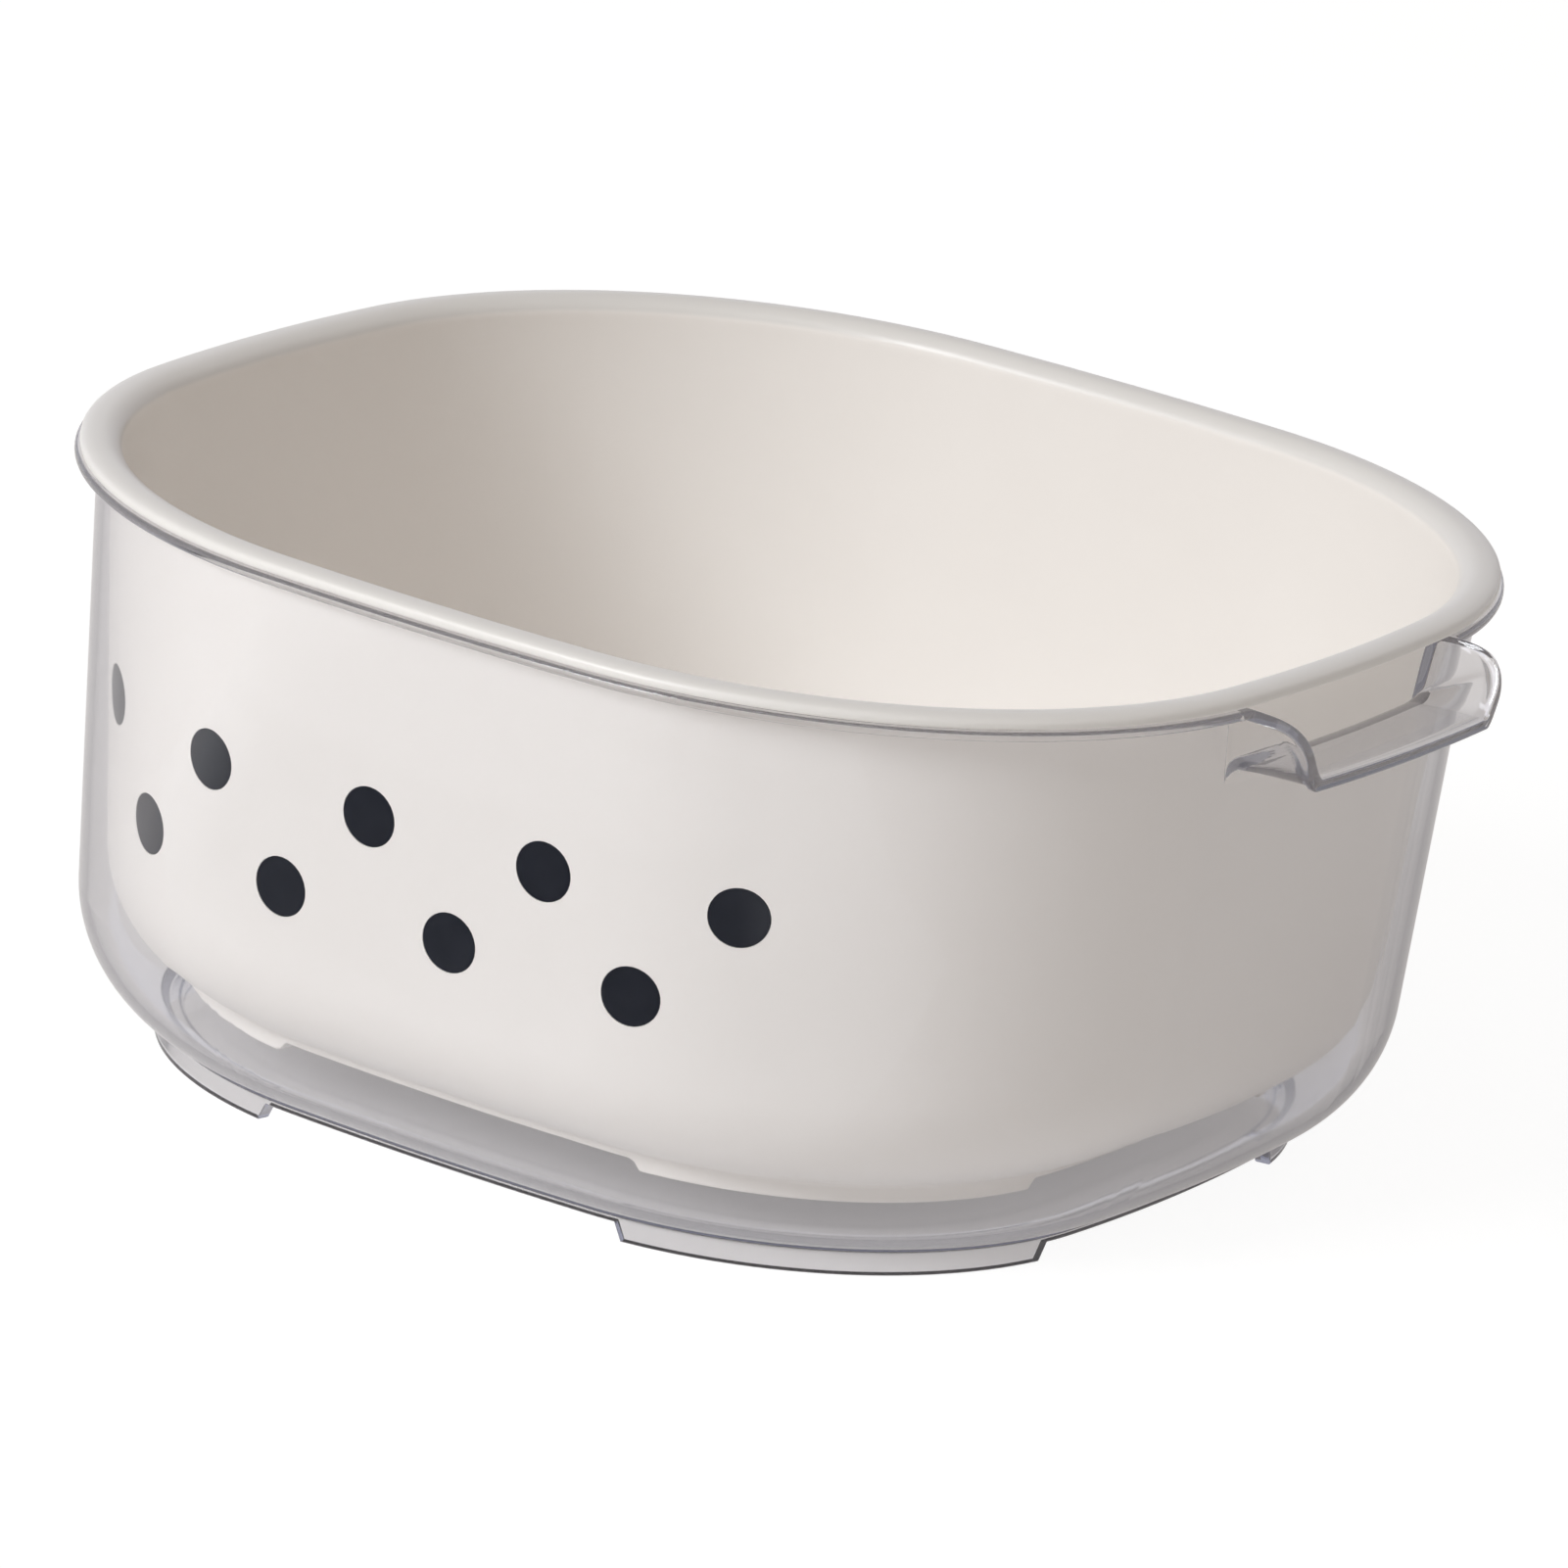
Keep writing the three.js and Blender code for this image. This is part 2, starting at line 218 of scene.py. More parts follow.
# Triangles between two rings: each edge takes the point that the other ring has reached
def zipRings(outer, outerAngle, inner, innerAngle):
    outer, outerAngle = outer[np.argsort(outerAngle)], np.sort(outerAngle)
    inner, innerAngle = inner[np.argsort(innerAngle)], np.sort(innerAngle)
    outerNext = np.append(outerAngle[1:], outerAngle[0] + 2 * np.pi)
    innerNext = np.append(innerAngle[1:], innerAngle[0] + 2 * np.pi)
    reached = np.searchsorted(innerNext, outerNext, "left")
    passed = np.searchsorted(outerNext, innerNext, "right")
    outward = np.stack([outer, np.roll(outer, -1), inner[reached % len(inner)]], -1)
    inward = np.stack([outer[passed % len(outer)], np.roll(inner, -1), inner], -1)
    return np.concatenate([outward, inward])


# Square cell turned into rings round its middle: angle grows evenly along each square ring
def cellRings(half):
    v, u = np.mgrid[-half : half + 1, -half : half + 1] / half
    ring = np.maximum(np.abs(u), np.abs(v))
    safeU, safeV = np.where(u == 0, 1, u), np.where(v == 0, 1, v)
    flat = np.pi / 4 * v / safeU + np.where(u < 0, np.pi, 0)
    steep = np.pi / 2 - np.pi / 4 * u / safeV + np.where(v < 0, np.pi, 0)
    return u, v, ring, np.where(np.abs(u) >= np.abs(v), flat, steep)


# Cell round a hole: steps on round rings, steps on the square edge, and the share of the latter,
# which is 0 up to the hole and 1 at the edge
def holeCell(c):
    u, v, ring, angle = cellRings(c["half"])
    share = np.clip((ring * c["half"] - c["hole"]) / (c["half"] - c["hole"]), 0, 1)
    within = np.minimum(ring * c["half"] / c["hole"], 1) * c["radius"]
    safe = np.where(ring == 0, 1, ring)
    return share, within * np.cos(angle), within * np.sin(angle), u / safe, v / safe


# Row and column steps round a square ring, anticlockwise
def ringSteps(reach):
    row, column = np.mgrid[-reach : reach + 1, -reach : reach + 1]
    onRing = np.maximum(np.abs(row), np.abs(column)) == reach
    row, column = row[onRing], column[onRing]
    order = np.argsort(np.arctan2(row, column))
    return row[order], column[order]


# Object at the origin from points in metres and any number of face arrays
def newPiece(name, points, *faces):
    mesh = bpy.data.meshes.new(name)
    polygons = [face for part in faces for face in part.reshape(-1, part.shape[-1]).tolist()]
    mesh.from_pydata(points.reshape(-1, 3).tolist(), [], polygons)
    mesh.validate()
    mesh.shade_smooth()
    mesh.set_sharp_from_angle(angle=np.radians(sharpAngle))
    piece = bpy.data.objects.new(name, mesh)
    bpy.context.collection.objects.link(piece)
    print(f"{name}: {len(mesh.vertices)} points, {len(mesh.polygons)} faces")
    return piece


# Clear catch bowl, in mm
clearBowl = {
    "rimHeight": 107.5,
    "flangeWidth": 4.0,
    "wall": 1.6,
    "taper": 3.2,  # degrees
    "base": 3.2,
    "turnRadius": 25.6,
    "innerBend": 4.0,  # where the wall turns out into the rim, over one sheet's thickness
    "outerBend": 2.4,
    "beadWidth": 2.4,  # thicker lip of the handle
    "beadDrop": 0.8,
    "beadFlat": 0.7,  # share of its width that is flat underneath
    "beadFrom": 0.4,  # share of dropRun after which it grows
    "beadRound": 0.6,
    "edgeRound": 0.78,  # free edge of the rim and the handle
    "handleHalfWidth": 34.2,
    "handleReach": 11.0,
    "lipDrop": 10.5,
    "rootDrop": 11.2,
    "cornerRun": 4.5,  # along the rim, while the handle sweeps out
    "dropRun": 7.6,  # while its edge sinks
    "sideRun": 2.4,  # while its floor sinks
    "columnStep": 2.2,
    "spanSteps": 12,  # columns in the middle of the handle, on its side and just past it
    "sweepSteps": 36,
    "pastSteps": 7,
    "leastTurn": 0.0004,  # closest columns, in radians
    "wallRows": (0.25, 0.5, 0.75, 0.9),  # shares of the straight wall's height
    "bendSteps": 30,
}
bowlFoot = {
    "inset": 24.7,
    "width": 3.0,
    "notchHalfWidth": 37.6,
    "slant": 1.6,
    "slantSteps": 7,
    "ridge": 0.7,
    "bottom": 0.0,
    "edgeRound": 0.45,
    "rootRound": 0.9,
}


# Foot ring's columns: lengths over the slanted end of a notch
def notchLengths(foot):
    return foot["notchHalfWidth"] + foot["slant"] * np.linspace(0, 1, foot["slantSteps"])


# Underside from the flat base over the foot ring to the foot of the round turn, as profile corners
def baseCorners(cup, foot, turn):
    innerInset = foot["inset"] + foot["width"]
    flatInset = max(cup.turnInset, innerInset) + foot["width"]
    ringTop = cup.bend(cup.angleAt(innerInset))[1]
    notch = ringTop - foot["ridge"]
    bottom = notch + (foot["bottom"] - notch) * footShare(turn, foot)
    places = [(flatInset, cup.base), (innerInset, ringTop)]
    places += [(innerInset, bottom), (foot["inset"], bottom)]
    return places, [0, foot["rootRound"], foot["edgeRound"], foot["edgeRound"]]


# The bowl is a profile carried round the outline; at the handle its root dips and its edge
# reaches out on a quarter circle, and the outside stands one wall further along the outline,
# so that the handle's side has thickness
def makeBowl(p, foot):
    half, corner, drop = p["handleHalfWidth"], p["cornerRun"], p["dropRun"]
    sweep = 1 - np.cos(np.linspace(0, np.pi / 2, p["sweepSteps"]))
    past = corner * np.linspace(0.1, 1, p["pastSteps"])  # from just outside the handle
    notch = notchLengths(foot)
    whole = lengthFromEnd(np.pi / 2)
    quarter = [
        turnFromEnd(np.linspace(0, half - drop, p["spanSteps"]), 0),
        turnFromEnd(half - drop * sweep, 0),
        turnFromEnd(half + past, 0),
        turnFromEnd(notch, foot["inset"]),
        np.pi / 2 - turnFromSide(notch, foot["inset"]),
        turnFromEnd(np.arange(half + corner, whole, p["columnStep"]), 0),
        np.pi / 2 - turnFromSide(np.arange(0, foot["notchHalfWidth"], p["columnStep"]), 0),
    ]
    turn = allRound(quarter, p["leastTurn"])
    length = lengthFromEnd(turn)
    atHandle = np.cos(turn) > 0  # the handle is at one end only
    inward = np.where(atHandle, half - length, 0)  # distance inside the handle's side
    run = ramp(inward, 0, corner)
    reach = p["handleReach"] * np.sqrt(1 - (1 - run) ** 2)
    lipDrop = p["lipDrop"] * smoothRamp(inward, 0, drop)
    rootDrop = p["rootDrop"] * smoothRamp(inward, 0, p["sideRun"])
    # The side's thickness: nothing in the middle and past the corner, a whole wall at the side
    rise = length / (half - corner)
    fall = (half + corner - length) / corner
    shift = np.where(atHandle, p["wall"] * np.clip(np.minimum(rise, fall), 0, 1), 0)
    further = turnFromEnd(length + shift, 0) - turnFromEnd(length, 0)
    outTurn = turn + np.sign(np.sin(turn)) * further

    taper = np.radians(p["taper"])
    outer = Cup(p["flangeWidth"], p["rimHeight"], taper, p["turnRadius"], p["base"])
    inner = outer.inside(p["wall"])
    rootTop = p["rimHeight"] - rootDrop
    rootUnder = rootTop - p["wall"]
    edgeInset = -reach
    edgeTop = p["rimHeight"] - lipDrop
    edgeUnder = edgeTop - p["wall"]

    # Outside, from the base up to the free edge with its bead
    outerPlaces, outerRadii = baseCorners(outer, foot, outTurn)
    bends = np.linspace(outer.angleAt(foot["inset"]), outer.taper, p["bendSteps"])
    outerPlaces += [outer.bend(angle) for angle in bends]
    outerPlaces += outer.straight(rootUnder, p["wallRows"])
    outerRadii += [foot["rootRound"]] + [0] * (len(bends) - 1 + len(p["wallRows"]))
    outerRoot = outer.wall(rootUnder)
    beadRise = (rootUnder - edgeUnder) * p["beadWidth"] / (outerRoot - edgeInset)
    beadUnder = edgeUnder - p["beadDrop"] * smoothRamp(inward, p["beadFrom"] * drop, drop)
    outerPlaces += [
        (outerRoot, rootUnder),
        (edgeInset + p["beadWidth"], edgeUnder + beadRise),
        (edgeInset + p["beadFlat"] * p["beadWidth"], beadUnder),
        (edgeInset, beadUnder),
    ]
    outerRadii += [p["outerBend"], p["beadRound"], p["beadRound"], p["edgeRound"]]

    # Inside, from the free edge down to the floor
    innerPlaces = [(edgeInset, edgeTop), (inner.wall(rootTop), rootTop)]
    innerPlaces += inner.straight(rootTop, p["wallRows"][::-1])
    bends = np.linspace(inner.taper, np.pi / 2, p["bendSteps"])
    innerPlaces += [inner.bend(angle) for angle in bends]
    innerRadii = [p["edgeRound"], p["innerBend"]] + [0] * (len(innerPlaces) - 2)

    corners = [onOutline(outTurn, *place) for place in outerPlaces]
    corners += [onOutline(turn, *place) for place in innerPlaces]
    points = roundCorners(corners, outerRadii + innerRadii)
    rows, columns = points.shape[:2]
    ring = np.arange(columns)
    onward = np.roll(ring, -1)
    last = (rows - 1) * columns
    poles = np.full(columns, rows * columns)
    under = np.stack([poles, onward, ring], -1)
    floor = np.stack([last + ring, last + onward, poles + 1], -1)
    middleX = rimOutline["middleX"]
    middles = mm * np.array([[middleX, 0, p["base"]], [middleX, 0, p["base"] + p["wall"]]])
    points = np.concatenate([points.reshape(-1, 3), middles])
    return newPiece("clearBowl", points, ringFaces(rows, columns), under, floor)


bowlPiece = makeBowl(clearBowl, bowlFoot)

# Cream drain basket, in mm
creamBasket = {
    "rimHeight": 107.8,  # underside of its rim, just over the bowl's rim
    "rimTop": 110.2,
    "rimInset": 0.8,  # how far its rim stands back from the bowl's
    "outerEase": (1.9, 0.75),  # how far the rim's top eases off, across and down
    "innerEase": (2.6, 1.7),
    "rimRounds": [0.9, 0.6, 0.9, 1.6, 1.9, 1.6],
    "rimSteps": 7,
    "wallInset": clearBowl["flangeWidth"] + 2.4,  # the bowl's wall and a small gap
    "wall": 2.0,
    "taper": 5.1,  # degrees
    "base": 14.0,
    "turnRadius": 24.0,
    "columnStep": 2.6,
    "leastTurn": 0.001,  # closest columns, in radians
    "dotsClear": 0.004,  # and beside the dots' columns
    "wallRows": (0.12, 0.4, 0.7, 0.9),  # shares of the wall's height over the dots
    "outerBendSteps": 15,
    "innerBendSteps": 16,
}
basketFoot = {
    "inset": 29.0,
    "width": 3.0,
    "notchHalfWidth": 37.2,
    "slant": 1.6,
    "slantSteps": 5,
    "ridge": 0.7,
    "bottom": 11.8,
    "edgeRound": 0.5,
    "rootRound": 0.9,
}
dots = {
    "count": 9,
    "radius": 5.55,
    "pitch": 36.5,  # along a row; the rows are staggered by half of it
    "shift": -11.2,  # along the wall, from the middle of its side
    "upper": 67.7,
    "lower": 49.4,
    "half": 6,  # grid steps from a cell's middle to its edge
    "hole": 4,  # of which inside the dot
    "gap": 0.05,
    "edge": 0.12,
}
drain = {
    "radius": 1.8,
    "pitch": 16.0,
    "rows": 6,
    "half": 6,  # grid steps, as for the dots
    "hole": 2,
}
basketCup = Cup(
    creamBasket["wallInset"],
    creamBasket["rimHeight"],
    np.radians(creamBasket["taper"]),
    creamBasket["turnRadius"],
    creamBasket["base"],
)
basketInside = basketCup.inside(creamBasket["wall"])
dotCells = range(-(dots["count"] // 2), dots["count"] // 2 + 1)
dotMiddle = (dots["upper"] + dots["lower"]) / 2  # between the two rows
dotTall = (dots["upper"] - dots["lower"]) / 2  # from there to a row


# A dot's place along the wall and up it: even cells in the upper row, odd ones in the lower
def dotPlace(d, cell):
    return d["shift"] + cell * d["pitch"] / 2, d["upper"] if cell % 2 == 0 else d["lower"]


# Turn at a length along the dotted side, on the wall at one height
def dotTurn(length, height):
    inset = basketCup.wall(height)
    return -np.pi / 2 + np.sign(length) * turnFromSide(np.abs(length), inset)


# Turn and height on the wall round one dot: rings from the dot's edge out to its square cell
def dotCell(d, cell):
    share, ringX, ringY, squareX, squareY = holeCell(d)
    centre, height = dotPlace(d, cell)
    turnIn = dotTurn(centre + ringX, height)
    heightIn = height + ringY * np.cos(basketCup.taper)
    turnOut = dotTurn(centre + squareX * d["pitch"] / 4, dotMiddle)
    heightOut = height + squareY * dotTall
    return turnIn + share * (turnOut - turnIn), heightIn + share * (heightOut - heightIn)


# Square field of drain holes: a flat grid whose cells turn into rings round each hole
def drainField(p, f):
    half, reach = f["half"], f["hole"]
    side = f["rows"] * 2 * half + 1
    grid = np.linspace(-0.5, 0.5, side) * f["rows"] * f["pitch"]
    gridY, gridX = (axis.copy() for axis in np.meshgrid(grid, grid, indexing="ij"))
    share, ringX, ringY, squareX, squareY = holeCell(f)
    stepX = ringX * (1 - share) + share * squareX * f["pitch"] / 2
    stepY = ringY * (1 - share) + share * squareY * f["pitch"] / 2
    faces = patchFaces(side, side)
    keep = np.ones(faces.shape[:2], bool)
    ringRow, ringColumn = ringSteps(reach)
    bores = []
    for hole in np.ndindex(f["rows"], f["rows"]):
        row, column = (half + 2 * half * step for step in hole)
        cell = np.s_[row - half : row + half + 1, column - half : column + half + 1]
        gridX[cell] = grid[column] + stepX
        gridY[cell] = grid[row] + stepY
        keep[row - reach : row + reach, column - reach : column + reach] = False
        bores.append((row + ringRow) * side + column + ringColumn)
    gridZ = np.full_like(gridX, p["base"] + p["wall"])
    points = mm * np.stack([gridX + rimOutline["middleX"], gridY, gridZ], -1)
    index = np.arange(side * side).reshape(side, side)
    edge = np.concatenate([index[0], index[1:, -1], index[-1, :-1], index[1:-1, 0]])
    return points.reshape(-1, 3), faces[keep], edge, bores


# The basket is a profile carried round the outline, with round holes in the wall and the floor
def makeBasket(p, foot, d, f):
    half, reach, perCell = d["half"], d["hole"], 2 * d["half"]
    steps = np.linspace(-d["count"], d["count"], d["count"] * perCell + 1)
    dottedTurn = dotTurn(d["shift"] + d["pitch"] / 4 * steps, dotMiddle) % (2 * np.pi)
    notch = notchLengths(foot)
    quarter = [
        turnFromEnd(np.arange(0, lengthFromEnd(np.pi / 2), p["columnStep"]), 0),
        turnFromEnd(notch, foot["inset"]),
        np.pi / 2 - turnFromSide(np.append(0, notch), foot["inset"]),
    ]
    plain = allRound(quarter, p["leastTurn"])
    before, after = dottedTurn[0] - p["dotsClear"], dottedTurn[-1] + p["dotsClear"]
    turn = np.sort(np.concatenate([plain[(plain < before) | (plain > after)], dottedTurn]))
    columns = len(turn)
    firstColumn = int(np.argmin(np.abs(turn - dottedTurn[0])))

    # Underside, foot ring and round turn, up to below the dots
    dotsFoot, dotsTop = dotMiddle - 2 * dotTall, dotMiddle + 2 * dotTall
    places, radii = baseCorners(basketCup, foot, turn)
    bends = np.linspace(basketCup.angleAt(foot["inset"]), basketCup.taper, p["outerBendSteps"])
    places += [basketCup.bend(angle) for angle in bends]
    below = (basketCup.bend(basketCup.taper)[1] + dotsFoot) / 2
    places.append((basketCup.wall(below), below))
    radii += [foot["rootRound"]] + [0] * len(bends)
    lower = roundCorners([onOutline(turn, *place) for place in places], radii)

    # Band of the wall with the dots, outside and inside
    levels = np.linspace(dotsFoot, dotsTop, 2 * perCell + 1)
    bandTurn = np.tile(turn, (len(levels), 1))
    bandHeight = np.tile(levels[:, None], columns)
    centres = []
    for cell in dotCells:
        row = half + perCell * (1 - cell % 2)
        column = firstColumn + half + (cell - dotCells[0]) * perCell
        square = np.s_[row - half : row + half + 1, column - half : column + half + 1]
        cellTurn, bandHeight[square] = dotCell(d, cell)
        bandTurn[square] = cellTurn % (2 * np.pi)
        centres.append((row, column))
    outside = onOutline(bandTurn, basketCup.wall(bandHeight), bandHeight)
    inside = onOutline(bandTurn, basketInside.wall(bandHeight), bandHeight)[::-1]

    # Wall over the dots, and the rim
    heights = dotsTop + (p["rimHeight"] - dotsTop) * np.array(p["wallRows"])
    rimIn, rimOut, rimTop = basketInside.wall(p["rimHeight"]), p["rimInset"], p["rimTop"]
    (outRun, outDrop), (inRun, inDrop) = p["outerEase"], p["innerEase"]
    over = [(basketCup.wall(height), height) for height in heights]
    over += [(p["wallInset"], p["rimHeight"]), (rimOut, p["rimHeight"])]
    over += [(rimOut, rimTop - outDrop), (rimOut + outRun, rimTop)]
    over += [(rimIn - inRun, rimTop), (rimIn, rimTop - inDrop)]
    over += [(basketInside.wall(height), height) for height in heights[::-1]]
    straight = [0] * len(heights)
    overRadii = straight + p["rimRounds"] + straight
    upper = roundCorners([onOutline(turn, *place) for place in over], overRadii, p["rimSteps"])

    # Inside below the dots, down to the floor
    bends = np.linspace(basketInside.taper, np.pi / 2, p["innerBendSteps"])
    places = [(basketInside.wall(below), below)] + [basketInside.bend(angle) for angle in bends]
    floorEdge = np.stack([onOutline(turn, *place) for place in places])

    shell = np.concatenate([lower, outside, upper, inside, floorEdge])
    rows = len(shell)
    faces = ringFaces(rows, columns)
    keep = np.ones(faces.shape[:2], bool)
    firstFront = len(lower)
    lastBack = firstFront + len(outside) + len(upper) + len(inside) - 1
    ringRow, ringColumn = ringSteps(reach)
    dotWalls = []
    for row, column in centres:
        frontRow, backRow = firstFront + row, lastBack - row
        for at in (frontRow, backRow):
            keep[at - reach : at + reach, column - reach : column + reach] = False
        front = (frontRow + ringRow) * columns + column + ringColumn
        back = (backRow - ringRow) * columns + column + ringColumn
        dotWalls.append(bridgeFaces(front, back))

    # Floor with the drain holes, and its underside one wall lower
    def angleOf(points):
        return np.arctan2(points[:, 1], points[:, 0] - mm * rimOutline["middleX"])

    floorTop, flat, edge, bores = drainField(p, f)
    floorUnder = floorTop - [0, 0, mm * p["wall"]]
    topFirst = rows * columns
    underFirst = topFirst + len(floorTop)
    edgeAngle = angleOf(floorTop[edge])
    ring = np.arange(columns)
    lastRing = (rows - 1) * columns + ring
    aboveEdge = zipRings(lastRing, angleOf(shell[-1]), topFirst + edge, edgeAngle)
    belowEdge = zipRings(ring, angleOf(shell[0]), underFirst + edge, edgeAngle)[:, ::-1]
    boreWalls = [bridgeFaces(topFirst + bore, underFirst + bore) for bore in bores]
    quads = [faces[keep], *dotWalls, topFirst + flat, (underFirst + flat)[:, ::-1], *boreWalls]
    points = np.concatenate([shell.reshape(-1, 3), floorTop, floorUnder])
    return newPiece("creamBasket", points, np.concatenate(quads), aboveEdge, belowEdge)


basketPiece = makeBasket(creamBasket, basketFoot, dots, drain)


# An inlay fills its hole: the same rings on the wall's outside and inside, eased at the edge
def makeInlay(name, d, cell):
    _, _, ring, angle = cellRings(d["hole"])
    centre, height = dotPlace(d, cell)
    radius = d["radius"] - d["gap"]

    def face(reach, cup, sink):
        length = centre + reach * np.cos(angle)
        level = height + reach * np.sin(angle) * np.cos(basketCup.taper)
        points = onOutline(dotTurn(length, height), cup.wall(level) + sink, level)
        return points.reshape(-1, 3)

    side = 2 * d["hole"] + 1
    full, eased = ring * radius, ring * (radius - d["edge"])
    ringRow, ringColumn = ringSteps(d["hole"])
    rim = (d["hole"] + ringRow) * side + d["hole"] + ringColumn
    frontEdge = face(full, basketCup, d["edge"])[rim]
    backEdge = face(full, basketInside, -d["edge"])[rim]
    flats = [face(eased, basketCup, 0), face(eased, basketInside, 0)]
    points = np.concatenate([*flats, frontEdge, backEdge])
    perFlat = side * side
    frontRing = 2 * perFlat + np.arange(len(rim))
    backRing = frontRing + len(rim)
    faces = [
        patchFaces(side, side).reshape(-1, 4),
        patchFaces(side, side, perFlat).reshape(-1, 4)[:, ::-1],
        bridgeFaces(frontRing, rim),
        bridgeFaces(backRing, frontRing),
        bridgeFaces(perFlat + rim, backRing),
    ]
    return newPiece(name, points, np.concatenate(faces))


# Upper row from left to right, then the lower row
inlayCells = sorted(dotCells, key=lambda cell: (cell % 2, cell))
inlays = [makeInlay(f"dotInlay{index + 1}", dots, cell) for index, cell in enumerate(inlayCells)]


# A socket wrapped so that shader maths reads as Python
class Wire:
    def __init__(self, tree, socket=None):
        self.tree, self.socket = tree, socket

    def node(self, kind, settings=None, inputs=None, output=0):
        made = self.tree.nodes.new(kind)
        for key, value in (settings or {}).items():
            setattr(made, key, value)
        for key, value in (inputs or {}).items():
            if isinstance(value, Wire):
                self.tree.links.new(value.socket, made.inputs[key])
            else:
                made.inputs[key].default_value = value
        return Wire(self.tree, made.outputs[output] if len(made.outputs) else None)

    def maths(self, operation, first, second):
        return self.node("ShaderNodeMath", {"operation": operation}, {0: first, 1: second})

    def __add__(self, other):
        return self.maths("ADD", self, other)

    def __radd__(self, other):
        return self.maths("ADD", other, self)

    def __sub__(self, other):
        return self.maths("SUBTRACT", self, other)

    def __rsub__(self, other):
        return self.maths("SUBTRACT", other, self)

    def __mul__(self, other):
        return self.maths("MULTIPLY", self, other)

    def __rmul__(self, other):
        return self.maths("MULTIPLY", other, self)

    def __lt__(self, other):
        return self.maths("LESS_THAN", self, other)

    def most(self, other):
        return self.maths("MAXIMUM", self, other)


def newFinish(name):
    finish = bpy.data.materials.new(name)
    finish.use_nodes = True
    finish.node_tree.nodes.clear()
    return finish, Wire(finish.node_tree)


# One axis of the object's own coordinates
def objectAxis(wire, axis):
    place = wire.node("ShaderNodeTexCoord", output="Object")
    return wire.node("ShaderNodeSeparateXYZ", {}, {0: place}, axis)


# Noise on the object's own coordinates
def grain(wire, scale, detail):
    place = wire.node("ShaderNodeTexCoord", output="Object")
    inputs = {"Vector": place, "Scale": scale, "Detail": detail}
    return wire.node("ShaderNodeTexNoise", {}, inputs, "Fac")


def blendColours(wire, share, first, second):
    inputs = {0: share, 6: first, 7: second}
    return wire.node("ShaderNodeMix", {"data_type": "RGBA"}, inputs, 2)


# Opaque moulded plastic: gloss that varies round its middle value, over a fine skin
def mouldedPlastic(wire, look, colour, spots):
    height = grain(wire, *look["skinGrain"])
    skin = {"Strength": look["skin"], "Distance": look["skinDepth"], "Height": height}
    inputs = {
        "Base Color": colour,
        "Roughness": look["gloss"] + look["glossSpread"] * (spots - 0.5),
        "Normal": wire.node("ShaderNodeBump", {}, skin),
        "IOR": look["ior"],
    }
    surface = wire.node("ShaderNodeBsdfPrincipled", {}, inputs)
    wire.node("ShaderNodeOutputMaterial", {}, {"Surface": surface})


# Grains are given as scale and detail
creamLook = {
    "pale": (0.888, 0.858, 0.830, 1),
    "deep": (0.866, 0.833, 0.802, 1),
    "rim": (0.73, 0.715, 0.695, 1),  # painted shade: greyer over the top of the rim
    "rimShadeShare": 0.8,
    "rimShadeFrom": 0.1075,  # heights in metres between which the rim's painted shade comes in
    "rimFull": 0.1082,
    "clouds": (14.0, 3.0),
    "cloudShare": 0.6,
    "haze": (55.0, 4.0),
    "gloss": 0.34,
    "glossSpread": 0.14,
    "ior": 1.49,
    "skin": 0.03,  # strength of the fine moulded skin
    "skinDepth": 0.0002,
    "skinGrain": (1500.0, 2.0),
}


def creamFinish(look):
    finish, wire = newFinish("creamPlastic")
    clouds = grain(wire, *look["clouds"])
    haze = grain(wire, *look["haze"])
    share = clouds * look["cloudShare"] + haze * (1 - look["cloudShare"])
    colour = blendColours(wire, share, look["deep"], look["pale"])
    # Painted shade: the top of the rim is blended towards the greyer rim colour
    rimShadeRange = {"Value": objectAxis(wire, "Z"), "To Max": look["rimShadeShare"]}
    rimShadeRange |= {"From Min": look["rimShadeFrom"], "From Max": look["rimFull"]}
    rimShadeShare = wire.node("ShaderNodeMapRange", {}, rimShadeRange)
    colour = blendColours(wire, rimShadeShare, colour, look["rim"])
    mouldedPlastic(wire, look, colour, haze)
    return finish


inkLook = {
    "deep": (0.009, 0.011, 0.018, 1),
    "pale": (0.015, 0.017, 0.026, 1),
    "clouds": (260.0, 3.0),
    "gloss": 0.36,
    "glossSpread": 0.16,
    "ior": 1.38,
    "skin": 0.06,
    "skinDepth": 0.0002,
    "skinGrain": (1800.0, 2.0),
}


def inkFinish(look):
    finish, wire = newFinish("darkPlastic")
    clouds = grain(wire, *look["clouds"])
    colour = blendColours(wire, clouds, look["deep"], look["pale"])
    mouldedPlastic(wire, look, colour, clouds)
    return finish


clearLook = {
    "tint": (0.975, 0.975, 0.985, 1),
    "haze": (40.0, 4.0),
    "gloss": 0.02,
    "glossSpread": 0.03,
    "ior": 1.5,
    "flow": 0.02,  # strength of the faint waves left by moulding
    "flowDepth": 0.002,
    "flowGrain": (18.0, 1.0),
    "body": (0.40, 0.42, 0.52, 1),
    "density": 12.0,
    "lampTint": (0.995, 0.995, 0.998, 1),  # for light that passes straight through
    "edgeTint": (0.40, 0.40, 0.43, 1),  # for light that runs inside the sheet to its edges
}


